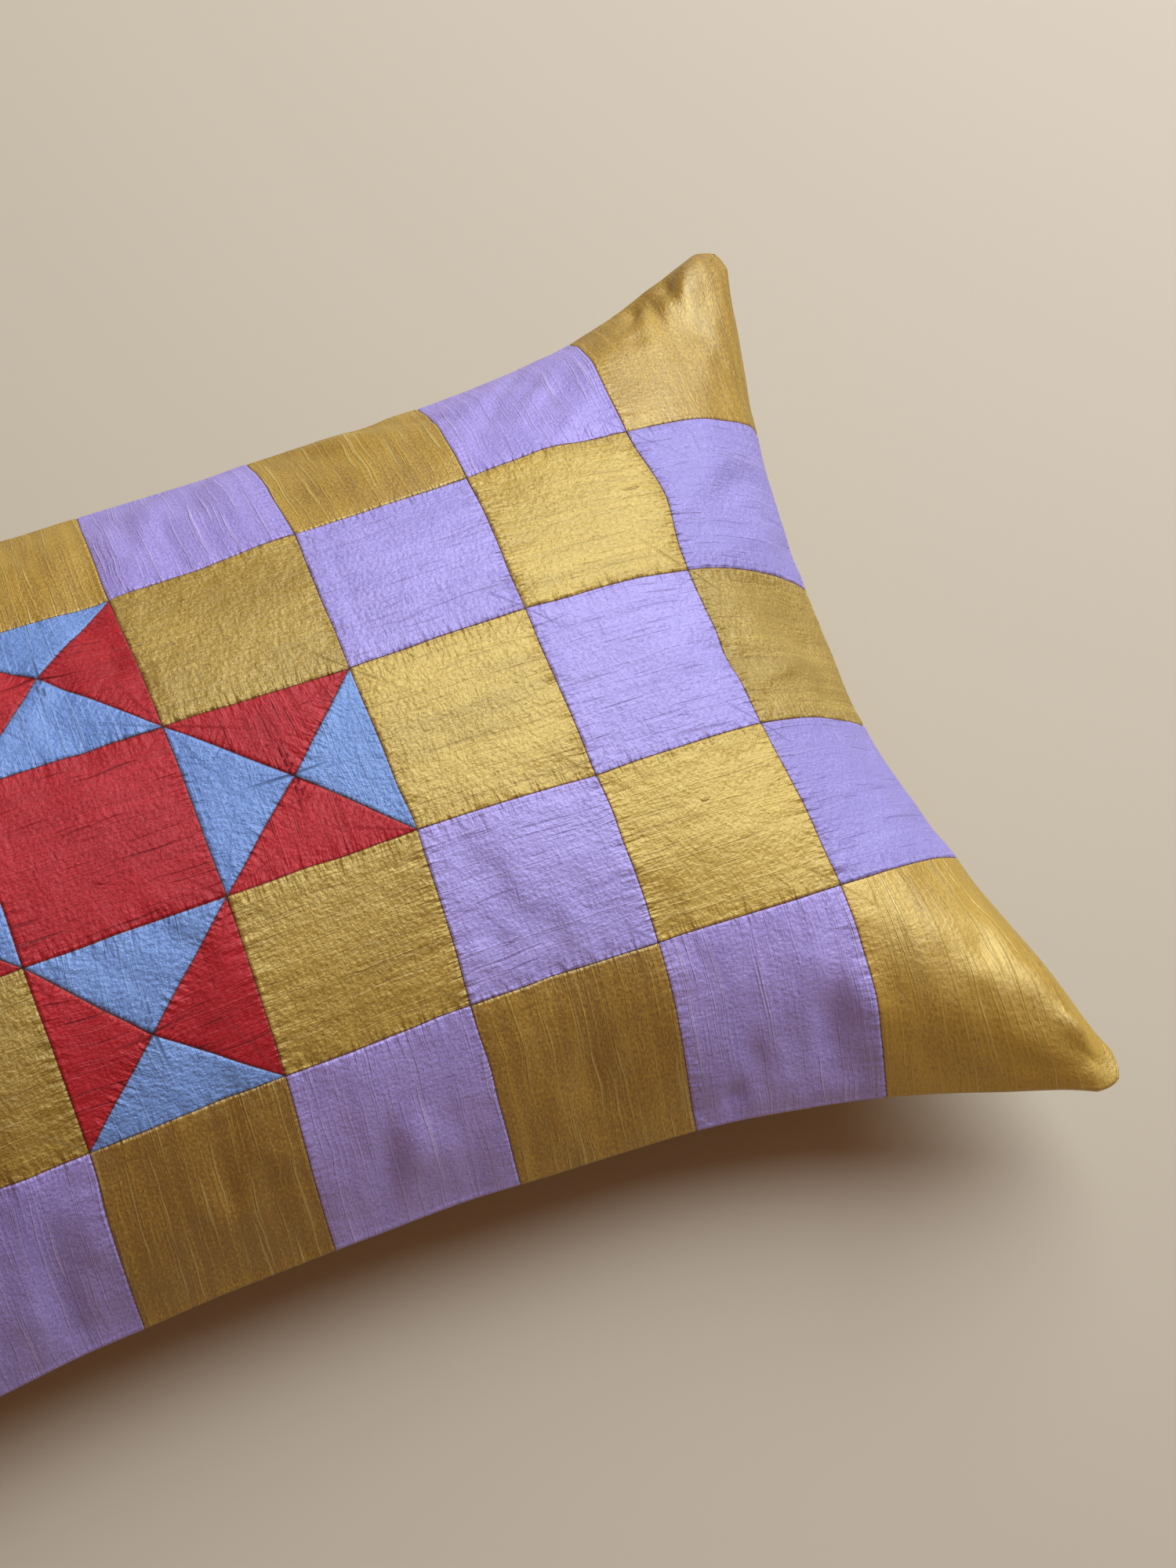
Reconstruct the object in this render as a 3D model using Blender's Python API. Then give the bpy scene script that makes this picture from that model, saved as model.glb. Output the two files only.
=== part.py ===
"""A filled lumbar cushion in a patchwork silk cover, lying on its back.

The cover is two flat panels sewn together round a knife edge. The filling lifts the front panel
into a crown, which draws the sides in between four soft ears, and the table flattens the back.
Metres, +Z up, origin under the middle of the cushion at table height.
"""

import math

import bmesh
import bpy
import numpy as np
from mathutils import Vector

# Flat panel, seam to seam: nine columns and five rows of patches, the outer ones cut larger
column_pitch = 0.061
outer_column = 0.067
row_pitch = 0.059
outer_row = 0.071
inner_columns = 7
inner_rows = 3
half_long = column_pitch * inner_columns / 2 + outer_column
half_wide = row_pitch * inner_rows / 2 + outer_row
corner_radius = 0.016

# Filling: how high it lifts each panel off the seam, and how high the seam lies over the table.
# The back turns into its flat face over the ease, and cloth lower than the press lies flat
front_crown = 0.0641
back_crown = 0.0641
seam_height = 0.042
table_ease = 0.006
table_press = 0.001

# Section of the crown: a fullness of 2 is a parabola and more is flatter on top, an edge softness
# over 1 leaves the seam as a lip, and ear fullness thickens the corners. The filling is poked into
# the tip of each ear, where it makes a puff that is fullest this far in from both seams
fullness_along = 4.267
fullness_across = 2.141
edge_softness = 1.05
ear_fullness = 2.2
tip_puff = 0.004
tip_puff_in = 0.016
steepest = 0.05
# The thread gathers the seam as much as the filling draws in the cloth this far inside it
gather_reach = 0.014

# Mesh: steps of the flat panel each way, closer together towards the seam
steps_along = 58
steps_across = 34
ease_angle = math.radians(72)
lattice_step = 0.002
weld_distance = 0.00001

cloth_colour = (0.50, 0.31, 0.08, 1.0)

# Where the filling pushes the cover further out or lets it in than an even crown would.
# column and row count patches from the middle, and 4.5 and 2.5 are on the seam
tug_columns = ("column", "row", "reach", "along", "across", "lift")
tugs = [
    (-0.5, -2.5, 0.045, -0.0045, 0.0066, 0.0),
    (1.0, -2.5, 0.045, -0.0022, 0.0067, 0.0),
    (2.5, -2.5, 0.040, -0.0042, 0.0023, 0.0),
    (3.5, -2.5, 0.030, -0.0031, -0.0041, 0.0),
    (4.5, -2.5, 0.030, 0.0066, -0.0215, 0.014),
    (4.5, -1.5, 0.030, 0.0019, 0.0037, 0.0),
    (4.5, -0.5, 0.030, -0.0029, 0.0002, 0.0),
    (4.5, 0.5, 0.030, -0.0011, -0.0047, 0.0),
    (4.5, 1.5, 0.030, 0.0018, -0.0022, 0.0),
    (4.5, 2.5, 0.030, 0.0080, 0.0085, 0.004),
    (3.5, 2.5, 0.030, 0.0020, -0.0010, 0.0),
    (2.5, 2.5, 0.040, 0.0031, -0.0019, 0.0),
    (1.0, 2.5, 0.045, -0.0014, -0.0009, 0.0),
]
# Tugs from this column outwards are repeated on the other end of the cushion
mirrored_from = 2.0

# Main folds of the front: place of the middle from the panel's centre, turn from the long side,
# half length, half width, and height, which is negative in a dent
fold_columns = ("name", "along", "across", "turn", "length", "width", "height")
folds = [
    ("upper ear, first tuck", 0.2510, 0.1490, 88, 0.012, 0.0032, -0.0034),
    ("upper ear, second tuck", 0.2440, 0.1440, 88, 0.010, 0.0032, -0.0028),
    ("upper ear, third tuck", 0.2370, 0.1515, 76, 0.012, 0.0036, -0.0036),
    ("upper ear, tip puff", 0.2590, 0.1500, 53, 0.017, 0.0056, 0.0016),
    ("upper ear, tip hollow", 0.2710, 0.1400, 51, 0.032, 0.0080, -0.0014),
    ("top row, left hollow", 0.0290, 0.1350, 85, 0.034, 0.0066, -0.0018),
    ("top row, left puff", 0.0540, 0.1350, 64, 0.028, 0.0080, 0.0015),
    ("top row, right puff", 0.0800, 0.1310, 90, 0.034, 0.0080, 0.0017),
    ("top row, hollow", 0.1070, 0.1350, 79, 0.024, 0.0067, -0.0015),
    ("top row, turned puff", 0.1280, 0.1400, 133, 0.021, 0.0080, 0.0016),
    ("top row, slack hollow", 0.1950, 0.1180, 31, 0.018, 0.0072, -0.0036),
    ("top row, slack ridge", 0.2010, 0.1210, 23, 0.036, 0.0080, 0.0025),
    ("top row, upper crease", 0.1770, 0.1180, 50, 0.030, 0.0069, -0.0014),
    ("end, top ridge", 0.2416, 0.0690, 31, 0.023, 0.0064, 0.0021),
    ("end, top puff", 0.2380, 0.0810, 24, 0.012, 0.0080, 0.0018),
    ("end, upper dent", 0.2460, 0.0210, -15, 0.018, 0.0080, -0.0022),
    ("end, middle dent", 0.2530, 0.0050, -15, 0.018, 0.0080, -0.0024),
    ("lower ear, wide puff", 0.2460, -0.1270, -43, 0.044, 0.0220, 0.0069),
    ("lower ear, ridge", 0.2616, -0.1250, -80, 0.031, 0.0080, 0.0023),
    ("lower ear, tip hollow", 0.2730, -0.1477, -2, 0.036, 0.0160, -0.0075),
    ("near side, right dent", 0.2007, -0.1287, 75, 0.020, 0.0056, -0.0026),
    ("near side, right ridge", 0.2084, -0.1193, 120, 0.014, 0.0079, 0.0019),
    ("near side, middle dent", 0.1210, -0.1250, 68, 0.016, 0.0075, -0.0023),
    ("near side, middle hollow", 0.1280, -0.1380, 60, 0.015, 0.0080, -0.0016),
    ("near side, star dent", 0.0548, -0.1303, 77, 0.019, 0.0053, -0.0022),
    ("near side, star puff", 0.0640, -0.1290, 107, 0.015, 0.0080, 0.0015),
    ("near side, centre dent", -0.0514, -0.1265, 89, 0.025, 0.0077, -0.0038),
    ("near side, centre ridge", -0.0530, -0.1105, 84, 0.036, 0.0080, 0.0028),
]
folds_mirrored_from = 0.10
# Folds fade out over this much cloth, so that both panels share one seam
seam_fade = 0.010


def place_in_patches(column, row):
    """Flat place of a point that is counted in patches from the middle of the panel."""
    inner_u = min(abs(column), inner_columns / 2)
    inner_v = min(abs(row), inner_rows / 2)
    along = inner_u * column_pitch + (abs(column) - inner_u) * outer_column
    across = inner_v * row_pitch + (abs(row) - inner_v) * outer_row
    return math.copysign(along, column), math.copysign(across, row)


def swell(place, half, fullness):
    """Share of the crown's height at a flat place, from 0 on the seam to 1 in the middle."""
    rest = np.clip(1 - np.abs(place / half) ** fullness, 0, None)
    return rest**edge_softness


def puffed(place, half):
    """Share of the puff at a flat place, from 0 on the seam to 1 where it is fullest."""
    inward = (half - np.abs(place)) / tip_puff_in
    return inward * np.exp((1 - inward**2) / 2)


def crown_height(u, v, crown):
    """How far the filling lifts a panel off the seam."""
    along = swell(u, half_long, fullness_along)
    across = swell(v, half_wide, fullness_across)
    share = along * across * (1 + ear_fullness * (1 - along) * (1 - across))
    return crown * share + tip_puff * puffed(u, half_long) * puffed(v, half_wide)


def drawn_in(height, step, axis):
    """How far cloth of one length reaches sideways while it climbs over the filling."""
    rise = np.diff(height, axis=axis)
    reach = np.sqrt(np.maximum(step**2 - rise**2, (steepest * step) ** 2))
    start = np.zeros_like(np.take(height, [0], axis=axis))
    along = np.concatenate([start, np.cumsum(reach, axis=axis)], axis=axis)
    middle = height.shape[axis] // 2
    return along - np.take(along, [middle], axis=axis)


def lattice():
    """Flat places, and where the even crown carries them sideways."""
    count_u = 2 * round(half_long / lattice_step)
    count_v = 2 * round(half_wide / lattice_step)
    us = np.linspace(-half_long, half_long, count_u + 1)
    vs = np.linspace(-half_wide, half_wide, count_v + 1)
    height = crown_height(us[:, None], vs[None, :], front_crown)
    reach_x = drawn_in(height, us[1] - us[0], 0)
    reach_y = drawn_in(height, vs[1] - vs[0], 1)
    edge_u = round(gather_reach / (us[1] - us[0]))
    edge_v = round(gather_reach / (vs[1] - vs[0]))
    gathered_x = reach_x[:, np.clip(np.arange(count_v + 1), edge_v, count_v - edge_v)]
    gathered_y = reach_y[np.clip(np.arange(count_u + 1), edge_u, count_u - edge_u)]
    return us, vs, gathered_x, gathered_y


def sampled(us, vs, values, u, v):
    """Values of the lattice between its points."""
    i = np.clip(np.searchsorted(us, u) - 1, 0, len(us) - 2)
    j = np.clip(np.searchsorted(vs, v) - 1, 0, len(vs) - 2)
    fu = (u - us[i]) / (us[i + 1] - us[i])
    fv = (v - vs[j]) / (vs[j + 1] - vs[j])
    low = values[i, j] * (1 - fv) + values[i, j + 1] * fv
    high = values[i + 1, j] * (1 - fv) + values[i + 1, j + 1] * fv
    return low * (1 - fu) + high * fu


def rounded(u, v):
    """The corners of the flat panel, which are sewn round."""
    past_u = np.abs(u) - (half_long - corner_radius)
    past_v = np.abs(v) - (half_wide - corner_radius)
    corner = (past_u > 0) & (past_v > 0)
    reach = np.where(corner, np.hypot(past_u, past_v), 1)
    share = np.where(corner, np.maximum(past_u, past_v) / reach, 1)
    round_u = np.sign(u) * (half_long - corner_radius + past_u * share)
    round_v = np.sign(v) * (half_wide - corner_radius + past_v * share)
    return np.where(corner, round_u, u), np.where(corner, round_v, v)


def both_ends(rows, first, first_mirrored, turned):
    """The rows, and a copy for the other end of each one that lies far enough out."""
    made = []
    for row in rows:
        made.append(row)
        if row[first] > first_mirrored:
            copy = list(row)
            for k in turned:
                copy[k] = -copy[k]
            made.append(tuple(copy))
    return made


def pulled(u, v):
    """Sum of the tugs at each flat place, as a move along, across and up."""
    move = np.zeros(u.shape + (3,))
    column, along = tug_columns.index("column"), tug_columns.index("along")
    for row in both_ends(tugs, column, mirrored_from, (column, along)):
        tug = dict(zip(tug_columns, row))
        at_u, at_v = place_in_patches(tug["column"], tug["row"])
        share = np.exp(-((u - at_u) ** 2 + (v - at_v) ** 2) / (2 * tug["reach"] ** 2))
        move += share[..., None] * np.array([tug["along"], tug["across"], tug["lift"]])
    return move


def fold_height(u, v):
    """How far the folds stand out of the front, or lie in it."""
    height = np.zeros_like(u)
    along, turn = fold_columns.index("along"), fold_columns.index("turn")
    for row in both_ends(folds, along, folds_mirrored_from, (along, turn)):
        fold = dict(zip(fold_columns, row))
        angle = math.radians(fold["turn"])
        du, dv = u - fold["along"], v - fold["across"]
        lengthwise = (du * math.cos(angle) + dv * math.sin(angle)) / fold["length"]
        crosswise = (dv * math.cos(angle) - du * math.sin(angle)) / fold["width"]
        height += fold["height"] * np.exp(-(lengthwise**2) - crosswise**2)
    to_seam = np.minimum(half_long - np.abs(u), half_wide - np.abs(v))
    return height * np.clip(to_seam / seam_fade, 0, 1)


def eased_steps(half, count):
    """Flat places from seam to seam, closer together towards each seam."""
    share = np.linspace(-1, 1, count + 1)
    return half * np.sin(share * ease_angle) / math.sin(ease_angle)


def lie_on_table(height):
    """Height over the table, with a soft turn into the flat face that rests on it."""
    turning = (height + table_ease) ** 2 / (4 * table_ease)
    lying = np.where(height < -table_ease, 0, turning)
    lifted = np.where(height > table_ease, height, lying)
    return np.where(lifted < table_press, 0, lifted)


def surfaces():
    """Grids of points for the front and the back, which meet at the seam."""
    us, vs, reach_x, reach_y = lattice()
    u, v = np.meshgrid(
        eased_steps(half_long, steps_along), eased_steps(half_wide, steps_across), indexing="ij"
    )
    u, v = rounded(u, v)
    move = pulled(u, v)
    x = sampled(us, vs, reach_x, u, v) + move[..., 0]
    y = sampled(us, vs, reach_y, u, v) + move[..., 1]
    seam = seam_height + move[..., 2]
    front = np.stack([x, y, seam + crown_height(u, v, front_crown)], axis=-1)
    back = np.stack([x, y, lie_on_table(seam - crown_height(u, v, back_crown))], axis=-1)
    front += outward(front) * fold_height(u, v)[..., None]
    back[[0, -1]] = front[[0, -1]]
    back[:, [0, -1]] = front[:, [0, -1]]
    return front, back


def outward(points):
    """Unit normals of a grid of points."""
    along = np.gradient(points, axis=0)
    across = np.gradient(points, axis=1)
    normal = np.cross(along, across)
    return normal / np.linalg.norm(normal, axis=-1, keepdims=True)


def add_panel(bm, points, faces_up):
    """One panel of the cover as a grid of faces, moved onto its points."""
    long_steps, wide_steps = points.shape[0] - 1, points.shape[1] - 1
    made = bmesh.ops.create_grid(bm, x_segments=long_steps, y_segments=wide_steps, size=1.0)
    for vert in made["verts"]:
        i = round((vert.co.x + 1) / 2 * long_steps)
        j = round((vert.co.y + 1) / 2 * wide_steps)
        vert.co = Vector(points[i, j])
    if not faces_up:
        faces = list({face for vert in made["verts"] for face in vert.link_faces})
        bmesh.ops.reverse_faces(bm, faces=faces)


def cloth_material():
    material = bpy.data.materials.new("ochre silk")
    material.use_nodes = True
    shader = material.node_tree.nodes["Principled BSDF"]
    shader.inputs["Base Color"].default_value = cloth_colour
    shader.inputs["Roughness"].default_value = 0.45
    shader.inputs["Metallic"].default_value = 0.0
    return material


def cushion():
    front, back = surfaces()
    box = np.concatenate([front.reshape(-1, 3), back.reshape(-1, 3)])
    middle = (box.min(axis=0) + box.max(axis=0)) / 2
    middle[2] = 0
    bm = bmesh.new()
    add_panel(bm, front - middle, True)
    add_panel(bm, back - middle, False)
    bmesh.ops.remove_doubles(bm, verts=bm.verts, dist=weld_distance)
    mesh = bpy.data.meshes.new("cushion")
    bm.to_mesh(mesh)
    bm.free()
    mesh.shade_smooth()
    part = bpy.data.objects.new("cushion", mesh)
    bpy.context.collection.objects.link(part)
    mesh.materials.append(cloth_material())
    print("cushion centre moved by", middle.round(5).tolist(), "size", np.ptp(box, axis=0).round(4).tolist())
    return part


for old in list(bpy.data.objects):
    bpy.data.objects.remove(old, do_unlink=True)
cushion()
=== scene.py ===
import math

import bpy
import numpy as np
from mathutils import Matrix, Vector


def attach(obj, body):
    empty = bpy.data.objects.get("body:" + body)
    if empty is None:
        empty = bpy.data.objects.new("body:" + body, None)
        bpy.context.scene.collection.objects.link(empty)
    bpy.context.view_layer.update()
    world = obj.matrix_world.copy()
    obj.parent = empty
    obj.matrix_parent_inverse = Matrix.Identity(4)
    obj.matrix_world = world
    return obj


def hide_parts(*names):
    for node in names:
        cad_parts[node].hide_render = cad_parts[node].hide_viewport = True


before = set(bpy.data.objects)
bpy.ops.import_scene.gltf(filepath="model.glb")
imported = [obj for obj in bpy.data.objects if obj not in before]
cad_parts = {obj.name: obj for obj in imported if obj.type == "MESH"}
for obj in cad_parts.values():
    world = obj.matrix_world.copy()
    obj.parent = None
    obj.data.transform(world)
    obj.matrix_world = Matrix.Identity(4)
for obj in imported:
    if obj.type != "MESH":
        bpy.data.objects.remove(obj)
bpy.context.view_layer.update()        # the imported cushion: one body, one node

mm = 0.001

# Camera over the near long side, looking down at about 70 degrees
camera = {
    "place": (0.0172, -0.2176, 0.7363),
    "forward": (0.1925, 0.2824, -0.9398),
    "right": (0.9233, -0.3764, 0.0760),
    "lens": 50, "film": 36, "nearest": 0.01,
}


def addCamera():
    data = bpy.data.cameras.new("camera")
    data.lens, data.sensor_width, data.clip_start = camera["lens"], camera["film"], camera["nearest"]
    forward = Vector(camera["forward"]).normalized()
    right = Vector(camera["right"])
    up = right.cross(forward).normalized()
    right = forward.cross(up)
    turned = Matrix((right, up, -forward)).transposed().to_4x4()
    made = bpy.data.objects.new("camera", data)
    bpy.context.scene.collection.objects.link(made)
    made.matrix_world = Matrix.Translation(camera["place"]) @ turned
    bpy.context.scene.camera = made


addCamera()
print("camera placed")

# The flat panel and the filling, at the sizes of the frame's solid
panel = {
    "columnPitch": 61 * mm, "outerColumn": 67 * mm, "innerColumns": 7,
    "rowPitch": 59 * mm, "outerRow": 71 * mm, "innerRows": 3,
    "cornerRadius": 16 * mm,
    "crown": 64.1 * mm, "seamHeight": 42 * mm, "tableEase": 6 * mm,
    "fullnessAlong": 4.267, "fullnessAcross": 2.141, "edgeSoftness": 1.05, "earFullness": 2.2,
    "tipPuff": 4 * mm, "tipPuffIn": 16 * mm, "tipClosing": 3, "gatherReach": 14 * mm,
    "steepest": 0.05, "latticeStep": 0.5 * mm, "normalStep": 0.3 * mm,
}
columnCount, rowCount = panel["innerColumns"] + 2, panel["innerRows"] + 2
halfLong = panel["columnPitch"] * panel["innerColumns"] / 2 + panel["outerColumn"]
halfWide = panel["rowPitch"] * panel["innerRows"] / 2 + panel["outerRow"]

# Where the filling pushes the cover out or lets it in; columns and rows count patches from the middle
tugColumns = ("column", "row", "reach", "along", "across", "lift")
tugs = [
    (-0.5, -2.5, 45, -4.5, 6.6, 0),
    (1.0, -2.5, 45, -2.2, 6.7, 0),
    (2.5, -2.5, 40, -4.2, 2.3, 0),
    (3.5, -2.5, 30, -3.1, -4.1, 0),
    (4.5, -2.5, 30, 6.6, -21.5, 14),
    (4.5, -1.5, 30, 1.9, 3.7, 0),
    (4.5, -0.5, 30, -2.9, 0.2, 0),
    (4.5, 0.5, 30, -1.1, -4.7, 0),
    (4.5, 1.5, 30, 1.8, -2.2, 0),
    (4.5, 2.5, 30, 8.0, 8.5, 4),
    (3.5, 2.5, 30, 2.0, -1.0, 0),
    (2.5, 2.5, 40, 3.1, -1.9, 0),
    (1.0, 2.5, 45, -1.4, -0.9, 0),
]
tugsMirroredFrom = 2.0

# Folds of the front in mm: middle, turn in degrees from the long side, half length and width, height
foldColumns = ("name", "along", "across", "turn", "length", "width", "height")
folds = [
    # upper ear
    ("first tuck", 251, 149, 88, 12, 3.2, -3.4),
    ("second tuck", 244, 144, 88, 10, 3.2, -2.8),
    ("third tuck", 237, 151.5, 76, 12, 3.6, -3.6),
    ("tip puff", 259, 150, 53, 17, 5.6, 1.6),
    ("tip hollow", 271, 140, 51, 32, 8, -1.4),
    # top row
    ("left hollow", 29, 135, 85, 34, 6.6, -1.8),
    ("left puff", 54, 135, 64, 28, 8, 1.5),
    ("right puff", 80, 131, 90, 34, 8, 1.7),
    ("hollow", 107, 135, 79, 24, 6.7, -1.5),
    ("thin hollow", 115, 129, 89, 17, 6, -1.0),
    ("turned puff", 128, 140, 133, 21, 8, 1.6),
    ("slack hollow", 195, 118, 31, 18, 7.2, -3.6),
    ("slack ridge", 201, 121, 23, 36, 8, 2.5),
    ("upper crease", 177, 118, 50, 30, 6.9, -1.4),
    ("hem crease", 176, 130, 56, 28, 4.5, -1.1),
    ("lower ridge", 203, 106, 38, 30, 5.2, 0.7),
    # end
    ("top ridge", 241.6, 69, 31, 23, 6.4, 2.1),
    ("top puff", 238, 81, 24, 12, 8, 1.8),
    ("thin ridge", 245, 42, 16, 28, 4.7, 0.6),
    ("upper dent", 246, 21, -15, 18, 8, -2.2),
    ("middle dent", 253, 5, -15, 18, 8, -2.4),
    ("rim hollow", 259, -6, 84, 30, 8, -1.3),
    ("lower ridge", 234, -10.4, 13, 12, 4, 1.4),
    ("lower hollow", 263, -60, 90, 34, 8, -1.1),
    # lower ear
    ("wide puff", 246, -127, -43, 44, 22, 6.9),
    ("ridge", 261.6, -125, -80, 31, 8, 2.3),
    ("lobe", 267.1, -140, -52, 5, 3.3, 2.6),
    ("tip hollow", 273, -147.7, -2, 36, 16, -7.5),
    # near side
    ("right dent", 200.7, -128.7, 75, 20, 5.6, -3.6),
    ("right ridge", 208.4, -119.3, 120, 14, 7.9, 2.5),
    ("right hollow", 204, -143.7, 119, 10, 7.6, -1.2),
    ("inner dent", 187.6, -136.4, 85, 13, 6.9, -1.8),
    ("hem dent", 175, -138, 96, 12, 4.8, -1.9),
    ("hem pocket", 166.5, -149, 80, 7, 4, -2.4),
    ("middle dent", 121, -125, 68, 16, 7.5, -3.2),
    ("middle hollow", 128, -138, 60, 15, 8, -2.2),
    ("long hollow", 144, -131, 109, 32, 8, -1.0),
    ("star dent", 54.8, -130.3, 77, 19, 5.3, -3.0),
    ("star puff", 64, -129, 107, 15, 8, 2.0),
    ("star ridge", 56, -125, 95, 32, 7.7, 1.5),
    ("centre dent", -51.4, -126.5, 89, 25, 7.7, -4.6),
    ("centre ridge", -53, -110.5, 84, 36, 8, 3.2),
]
foldsMirroredFrom = 100
seamFade = 10 * mm
closeBy = 0.0001


def placeInPatches(columns, rows):
    # flat place of points that are counted in patches from the middle
    innerU = np.minimum(np.abs(columns), panel["innerColumns"] / 2)
    innerV = np.minimum(np.abs(rows), panel["innerRows"] / 2)
    along = innerU * panel["columnPitch"] + (np.abs(columns) - innerU) * panel["outerColumn"]
    across = innerV * panel["rowPitch"] + (np.abs(rows) - innerV) * panel["outerRow"]
    return np.sign(columns) * along, np.sign(rows) * across


def hemDistance(u, v):
    return np.minimum(halfLong - np.abs(u), halfWide - np.abs(v))


def bell(x):
    return np.exp(-(x**2))


def crownHeight(u, v):
    # how far the filling lifts a panel off the seam, with a puff poked into the tip of each ear
    soft = panel["edgeSoftness"]
    along = np.clip(1 - np.abs(u / halfLong) ** panel["fullnessAlong"], 0, None) ** soft
    across = np.clip(1 - np.abs(v / halfWide) ** panel["fullnessAcross"], 0, None) ** soft
    share = along * across * (1 + panel["earFullness"] * (1 - along) * (1 - across))
    inU, inV = (halfLong - np.abs(u)) / panel["tipPuffIn"], (halfWide - np.abs(v)) / panel["tipPuffIn"]
    puff = inU * inV * np.exp((2 - inU**2 - inV**2) / 2)
    return panel["crown"] * share + panel["tipPuff"] * puff


def drawnIn(height, step, axis):
    # cloth of one length reaches less far sideways while it climbs over the filling
    rise = np.diff(height, axis=axis)
    reach = np.sqrt(np.maximum(step**2 - rise**2, (panel["steepest"] * step) ** 2))
    start = np.zeros_like(np.take(height, [0], axis=axis))
    along = np.concatenate([start, np.cumsum(reach, axis=axis)], axis=axis)
    return along - np.take(along, [height.shape[axis] // 2], axis=axis)


def makeLattice():
    countU = 2 * round(halfLong / panel["latticeStep"])
    countV = 2 * round(halfWide / panel["latticeStep"])
    us = np.linspace(-halfLong, halfLong, countU + 1)
    vs = np.linspace(-halfWide, halfWide, countV + 1)
    height = crownHeight(us[:, None], vs[None, :])
    reachX = drawnIn(height, us[1] - us[0], 0)
    reachY = drawnIn(height, vs[1] - vs[0], 1)
    # the seam is gathered as much as the cloth a little inside it
    edgeU = round(panel["gatherReach"] / (us[1] - us[0]))
    edgeV = round(panel["gatherReach"] / (vs[1] - vs[0]))
    reachX = reachX[:, np.clip(np.arange(countV + 1), edgeV, countV - edgeV)]
    reachY = reachY[np.clip(np.arange(countU + 1), edgeU, countU - edgeU)]
    return us, vs, reachX, reachY


def sampled(us, vs, values, u, v):
    # values of a grid of flat places, read between its lines
    i = np.clip(((u - us[0]) / (us[1] - us[0])).astype(int), 0, len(us) - 2)
    j = np.clip(((v - vs[0]) / (vs[1] - vs[0])).astype(int), 0, len(vs) - 2)
    shareU = (u - us[i]) / (us[1] - us[0])
    shareV = (v - vs[j]) / (vs[1] - vs[0])
    low = values[i, j] * (1 - shareV) + values[i, j + 1] * shareV
    high = values[i + 1, j] * (1 - shareV) + values[i + 1, j + 1] * shareV
    return low * (1 - shareU) + high * shareU


def pastCorner(u, v):
    # how far a flat place lies past the middle of its corner's arc, and whether it is in that corner
    radius = panel["cornerRadius"]
    pastU, pastV = np.abs(u) - (halfLong - radius), np.abs(v) - (halfWide - radius)
    return pastU, pastV, (pastU > 0) & (pastV > 0)


def rounded(u, v):
    # the corners of the flat panel are sewn round
    radius = panel["cornerRadius"]
    pastU, pastV, corner = pastCorner(u, v)
    reach = np.where(corner, np.hypot(pastU, pastV), 1)
    share = np.where(corner, np.maximum(pastU, pastV) / reach, 1)
    roundU = np.sign(u) * (halfLong - radius + pastU * share)
    roundV = np.sign(v) * (halfWide - radius + pastV * share)
    return np.where(corner, roundU, u), np.where(corner, roundV, v)


def tipGap(u, v):
    # how far a panel would stand off the seam that is sewn round a corner, eased away inwards
    radius = panel["cornerRadius"]
    pastU, pastV, corner = pastCorner(u, v)
    reach = np.where(corner, np.hypot(pastU, pastV), radius)
    seamU = np.where(corner, halfLong - radius + radius * pastU / reach, halfLong)
    seamV = np.where(corner, halfWide - radius + radius * pastV / reach, halfWide)
    return crownHeight(seamU, seamV) * (reach / radius) ** panel["tipClosing"]


def bothEnds(columns, rows, first, mirroredFrom, turned):
    # the rows as dictionaries, and a copy for the other end of each one that lies far enough out
    made = []
    for values in rows:
        row = dict(zip(columns, values))
        made.append(row)
        if row[first] > mirroredFrom:
            made.append({key: -value if key in turned else value for key, value in row.items()})
    return made


allTugs = bothEnds(tugColumns, tugs, "column", tugsMirroredFrom, ("column", "along"))
allFolds = bothEnds(foldColumns, folds, "along", foldsMirroredFrom, ("along", "turn"))


def pulled(u, v):
    # how far all the tugs together move a flat place
    move = np.zeros(u.shape + (3,))
    for tug in allTugs:
        atU, atV = placeInPatches(np.array(tug["column"]), np.array(tug["row"]))
        share = np.exp(-((u - atU) ** 2 + (v - atV) ** 2) / (2 * (tug["reach"] * mm) ** 2))
        move += share[..., None] * np.array([tug["along"], tug["across"], tug["lift"]]) * mm
    return move


def lieOnTable(height):
    # the back turns softly into the flat face that rests on the table
    ease = panel["tableEase"]
    turning = (height + ease) ** 2 / (4 * ease)
    return np.where(height > ease, height, np.where(height < -ease, 0, turning))


lattice = makeLattice()


def panelPoint(u, v, side):
    # the smooth cushion: side 1 is the patchwork front and side -1 the plain back
    u, v = rounded(u, v)
    us, vs, reachX, reachY = lattice
    move = pulled(u, v)
    x = sampled(us, vs, reachX, u, v) + move[..., 0]
    y = sampled(us, vs, reachY, u, v) + move[..., 1]
    z = panel["seamHeight"] + move[..., 2] + side * (crownHeight(u, v) - tipGap(u, v))
    if side < 0:
        z = lieOnTable(z)
    return np.stack([x, y, z], axis=-1)


def outwardAt(u, v, side):
    # which way the smooth cushion faces
    reach = panel["normalStep"]
    uHigh, uLow = np.minimum(u + reach, halfLong), np.maximum(u - reach, -halfLong)
    vHigh, vLow = np.minimum(v + reach, halfWide), np.maximum(v - reach, -halfWide)
    along = panelPoint(uHigh, v, side) - panelPoint(uLow, v, side)
    across = panelPoint(u, vHigh, side) - panelPoint(u, vLow, side)
    normal = side * np.cross(along, across)
    return normal / np.maximum(np.linalg.norm(normal, axis=-1, keepdims=True), 1e-12)


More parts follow.
